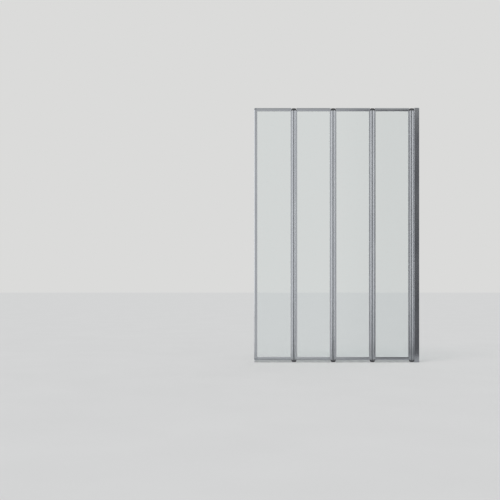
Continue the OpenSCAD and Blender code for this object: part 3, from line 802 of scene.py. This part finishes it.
def make_glazing(k):
    finished(f"glass_{k}", softened(slab(*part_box(f"glass_{k}")), PANE_EDGE), GLASS)

    # The gasket's section is led round the pane and mitred at its corners. Each of its points is measured
    # from the slot's floor or from the lip, which is further from the floor in the rails than in the stiles.
    lip_x, lip_z = STILE_REACH + GASKET_LIP - SLOT_FLOOR, RAIL_H + GASKET_LIP - RAIL_FLOOR
    slot_y, pane_y = SLOT_W / 2, GLASS_T / 2 + GLAZING_GAP
    half = [("floor", 0, slot_y)]
    half += [("lip", depth * MM, slot_y - drop * MM) for depth, drop in LIP_CURVE]
    half += [("lip", LIP_TOE, pane_y), ("floor", GASKET_FLOOR - GLAZING_GAP, pane_y)]
    section = half + [(base, depth, -y) for base, depth, y in reversed(half)]
    lo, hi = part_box(f"glazing_gasket_{k}")

    def lead_round(bm):
        rings = []
        for base, depth, y in section:
            dx, dz = (depth, depth) if base == "floor" else (lip_x - depth, lip_z - depth)
            x0, x1, z0, z1 = lo.x + dx, hi.x - dx, lo.z + dz, hi.z - dz
            rings.append([bm.verts.new((x, y, z)) for x, z in ((x0, z0), (x1, z0), (x1, z1), (x0, z1))])
        for ring, after in zip(rings, rings[1:] + rings[:1]):
            for i in range(len(ring)):
                bm.faces.new((ring[i - 1], ring[i], after[i], after[i - 1]))
        bmesh.ops.recalc_face_normals(bm, faces=bm.faces)

    finished(f"glazing_gasket_{k}", mesh_of("gasket", lead_round), GASKET_VINYL)


def make_rim_seal(k):
    lo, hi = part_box(f"rim_seal_{k}")
    key_end = STILE_REACH + KEY_L + RUN_GAP
    head_x0, head_x1 = free_pivot(k) + key_end, wall_pivot(k) - key_end
    band = drawn(seal_band_outlines(), hi.x - lo.x, RIM_VINYL, lying(lo.x))
    head = drawn(seal_head_outlines(), head_x1 - head_x0, RIM_VINYL, lying(head_x0))
    item, other = as_object(band), as_object(head)
    union = item.modifiers.new("union", "BOOLEAN")
    union.operation, union.solver, union.object = "UNION", "EXACT", other
    mesh = settled(item)
    bpy.data.objects.remove(other)
    finished(f"rim_seal_{k}", mesh, RIM_VINYL)


def make_corners(k):
    finished(f"corner_keys_{k}", softened(copied(f"corner_keys_{k}"), KEY_EDGE, steps=1), DARK_NYLON)
    seats = [(p, (0, 1, 0)) for x, side in stile_axes(k) for p in corner_seats(x, side)]
    finished(f"corner_screws_{k}", on_places(CORNER_SCREW, seats, STEEL), STEEL)


# ---- Stage, light and camera ----

FLOOR_REACH, FLOOR_DROP = 40, 0.2 * MM

# Tall soft boxes: the place of each one's middle, its power in watts and its width
TALL_LAMPS = {"tall_window": ((-3.4, -2.4, 1.5), 48, 3.6),
              "tall_fill": ((2.3, -1.5, 1.5), 27, 2.6),
              "tall_back": ((-2.6, 3.0, 1.5), 42, 3.4)}
LAMP_H, LAMP_AIM = 2.8, (-0.45, 0, 0.75)
SKYLIGHT_PLACE, SKYLIGHT_AIM = (-2, -2.5, 4.5), (0, 0, 0)
SKYLIGHT_POWER, SKYLIGHT_ANGLE = 1.0, math.radians(35)
AMBIENT_POWER, BACKDROP_POWER = 0.78, 1.0

# The graded card, which stands up at its far edge, and its fan of tones, each with its angle in degrees
CARD_NEAR_Y, CARD_FAR_Y, CARD_TOP, CARD_DROP = -0.35, -3.3, 2.15, 0.1 * MM
CARD_NEAR_X, CARD_FAR_X = (-1.76, 1.19), (-2.2, 2.6)
FAN_CENTRE, QUARTER_TURN = (-1.07, 4.37), 0.25
FAN_TONES = (("#ececec", 1.6), ("#f0f0f0", 8.0), ("#8c8c8e", 11.0), ("#707072", 14.2))

# The cards under the two lamps in front: their corners, and about the brightness that such a lamp shows
# together with what lies behind it. They reach a little behind the lamps, where a look under a lamp goes.
FOOT_CARDS = {"window_foot": (((-2.3, -0.35), (-5.14, -1.49), (-2.86, -4.29), (-0.95, -0.35)), 2.1),
              "fill_foot": (((0.3, -0.35), (2.53, -3.1), (3.77, -0.82), (1.3, -0.35)), 1.8)}
FOOT_CARD_DROP, FOOT_CARD_FULL_Y, FOOT_CARD_START = 0.05 * MM, -0.9, 0.4


def hidden_from_view(item):
    """The camera doesn't see a lamp or a card, not even through the glass, but its light or reflection."""
    item.visible_camera = item.visible_transmission = False
    return item


def make_lamp(name, kind, place, aim, energy, **settings):
    lamp = bpy.data.lights.new(name, kind)
    lamp.energy = energy
    for setting, value in settings.items():
        setattr(lamp, setting, value)
    item = hidden_from_view(bpy.data.objects.new(name, lamp))
    item.location = place
    item.rotation_euler = (Vector(aim) - Vector(place)).to_track_quat("-Z", "Y").to_euler()
    bpy.context.scene.collection.objects.link(item)
    return item


def reflected_card(name, drop, faces, shade, strength):
    """A glowing card that shows in reflections alone. shade(tree, place) gives its colour."""
    def lay(bm):
        for face in faces:
            bm.faces.new([bm.verts.new((x, y, z - drop)) for x, y, z in face])
    card = hidden_from_view(as_object(mesh_of(name, lay)))
    card.visible_diffuse = card.visible_shadow = False
    material, tree, place = start_material(name)
    glow = add(tree, "ShaderNodeEmission", {"Color": shade(tree, place), "Strength": strength})
    add(tree, "ShaderNodeOutputMaterial", {"Surface": glow.outputs[0]})
    card.data.materials.append(material)


def graded(tree, place):
    """Pale on the left and dark towards the wall profile: a fan of tones whose centre lies as far behind the
    screen as the camera stands before it, so that flat faces show them from left to right."""
    to_centre = (-FAN_CENTRE[0], -FAN_CENTRE[1], 0)
    centred = add(tree, "ShaderNodeMapping", {"Vector": place, "Location": to_centre})
    fan = add(tree, "ShaderNodeTexGradient", {"Vector": centred.outputs[0]}, gradient_type="RADIAL")
    tones = add(tree, "ShaderNodeValToRGB", {"Fac": fan.outputs[1]})
    stops = tones.color_ramp.elements
    stops.remove(stops[-1])
    for code, degrees in FAN_TONES:
        stops.new(QUARTER_TURN + degrees / 360).color = colour(code)
    stops.remove(stops[0])
    return tones.outputs[0]


def brightening(tree, place):
    """About as pale as the floor near the screen, and brighter away from it."""
    away = add(tree, "ShaderNodeSeparateXYZ", {"Vector": place}).outputs["Y"]
    return add(tree, "ShaderNodeMapRange", {
        "Value": away, "From Min": CARD_NEAR_Y, "From Max": FOOT_CARD_FULL_Y,
        "To Min": FOOT_CARD_START, "To Max": 1.0}).outputs[0]


def make_stage():
    """A pale floor at the seals' foot, pale surroundings, soft lamps, and the photograph's camera."""
    r = FLOOR_REACH
    floor = as_object(mesh_of("floor", lambda bm: bm.faces.new(
        [bm.verts.new((x, y, -FLOOR_DROP)) for x, y in ((-r, -r), (r, -r), (r, r), (-r, r))])))
    floor.data.materials.append(finish(
        "pale_floor", ("#d8d8d7", "#dadad9"), patch=(0.35, EVEN), patch_rough=(0.78, 0.82),
        grain=(5 * MM, EVEN), grain_rough=(0.0, 0.02), relief=0.0, Specular_IOR_Level=0.0))

    # What lies in front is seen in reflections alone: a card that is led along the floor and then stands up,
    # and under the lamps two bright ones, which carry the lines that the lamps draw to the tubes' feet
    near = [(x, CARD_NEAR_Y, 0) for x in CARD_NEAR_X]
    far = [(x, CARD_FAR_Y, 0) for x in reversed(CARD_FAR_X)]
    rise = [far[1], far[0], *((x, CARD_FAR_Y, CARD_TOP) for x in reversed(CARD_FAR_X))]
    reflected_card("graded_card", CARD_DROP, [near + far, rise], graded, 1.0)
    for name, (corners, strength) in FOOT_CARDS.items():
        reflected_card(name, FOOT_CARD_DROP, [[(*corner, 0) for corner in corners]], brightening, strength)

    world = bpy.data.worlds.new("pale_room")
    world.use_nodes = True
    bpy.context.scene.world = world
    tree = world.node_tree
    tree.nodes.clear()
    path = add(tree, "ShaderNodeLightPath").outputs
    seen = add(tree, "ShaderNodeMath", {
        0: path["Is Camera Ray"], 1: path["Is Transmission Ray"]}, operation="MAXIMUM")
    seen = add(tree, "ShaderNodeMath", {0: seen.outputs[0], 1: path["Is Glossy Ray"]}, operation="MAXIMUM")
    ambient = add(tree, "ShaderNodeBackground", {"Color": colour("#f1f2f4"), "Strength": AMBIENT_POWER})
    backdrop = add(tree, "ShaderNodeBackground", {"Color": colour("#dbdbda"), "Strength": BACKDROP_POWER})
    mix = add(tree, "ShaderNodeMixShader", {
        0: seen.outputs[0], 1: ambient.outputs[0], 2: backdrop.outputs[0]})
    add(tree, "ShaderNodeOutputWorld", {"Surface": mix.outputs[0]})

    make_lamp("skylight", "SUN", SKYLIGHT_PLACE, SKYLIGHT_AIM, SKYLIGHT_POWER, angle=SKYLIGHT_ANGLE)
    # The reflections of the tall lamps draw the bright lines along the tubes. They leave the floor alone.
    for name, (place, energy, width) in TALL_LAMPS.items():
        lamp = make_lamp(name, "AREA", place, LAMP_AIM, energy, shape="RECTANGLE", size=width, size_y=LAMP_H)
        lamp.visible_diffuse = False

    camera = bpy.data.cameras.new("camera")
    camera.lens, camera.sensor_width = CAMERA_LENS, CAMERA_SENSOR
    camera.shift_x, camera.shift_y = CAMERA_SHIFT
    item = bpy.data.objects.new("camera", camera)
    item.location, item.rotation_euler = CAMERA_PLACE, (math.radians(90), 0, 0)
    bpy.context.scene.collection.objects.link(item)
    bpy.context.scene.camera = item
    bpy.context.scene.view_settings.view_transform = "Standard"


make_stage()
CORNER_SCREW, FIXING_SCREW, PIVOT_SCREW = (
    as_object(mesh) for mesh in (corner_screw(), fixing_screw(), pivot_screw()))
make_wall_mount()
make_hinges()
for panel in PANELS:
    make_stiles(panel)
    make_rails(panel)
    make_glazing(panel)
    make_rim_seal(panel)
    make_corners(panel)
finished("end_caps", softened(copied("end_caps"), CAP_EDGE, flats=False), GREY_ABS)
for pattern in (CORNER_SCREW, FIXING_SCREW, PIVOT_SCREW):
    bpy.data.objects.remove(pattern)
